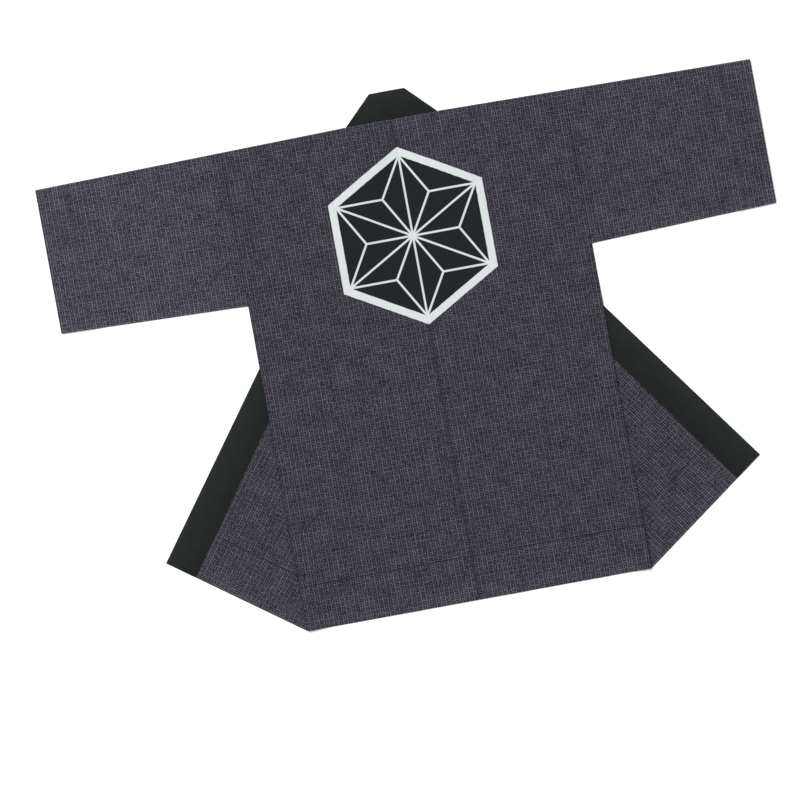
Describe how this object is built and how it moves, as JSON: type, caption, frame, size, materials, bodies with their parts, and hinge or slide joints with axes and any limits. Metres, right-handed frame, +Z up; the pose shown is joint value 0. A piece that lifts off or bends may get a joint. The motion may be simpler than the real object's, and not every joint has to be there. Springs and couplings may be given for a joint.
{
  "type": "hanten coat laid flat",
  "caption": "Short Japanese work coat in dark checked cotton with a black band collar, laid flat back up with its fronts turned out.",
  "frame": {"origin": "bottom centre of the laid coat's bounding box, on the surface it lies on", "axes": "+X towards the coat's right sleeve seen from above, +Y from hem to neck, +Z up from the surface, out of the back"},
  "size_m": [1.264, 0.9001, 0.008],
  "materials": {
    "checked_cotton": "matte woven cotton in a small basket check",
    "black_collar_cotton": "matte plain-woven black cotton"
  },
  "bodies": {
    "root": {"body_left": "checked_cotton", "body_right": "checked_cotton", "sleeve_left": "checked_cotton", "sleeve_right": "checked_cotton", "collar": "black_collar_cotton"}
  },
  "joints": []
}
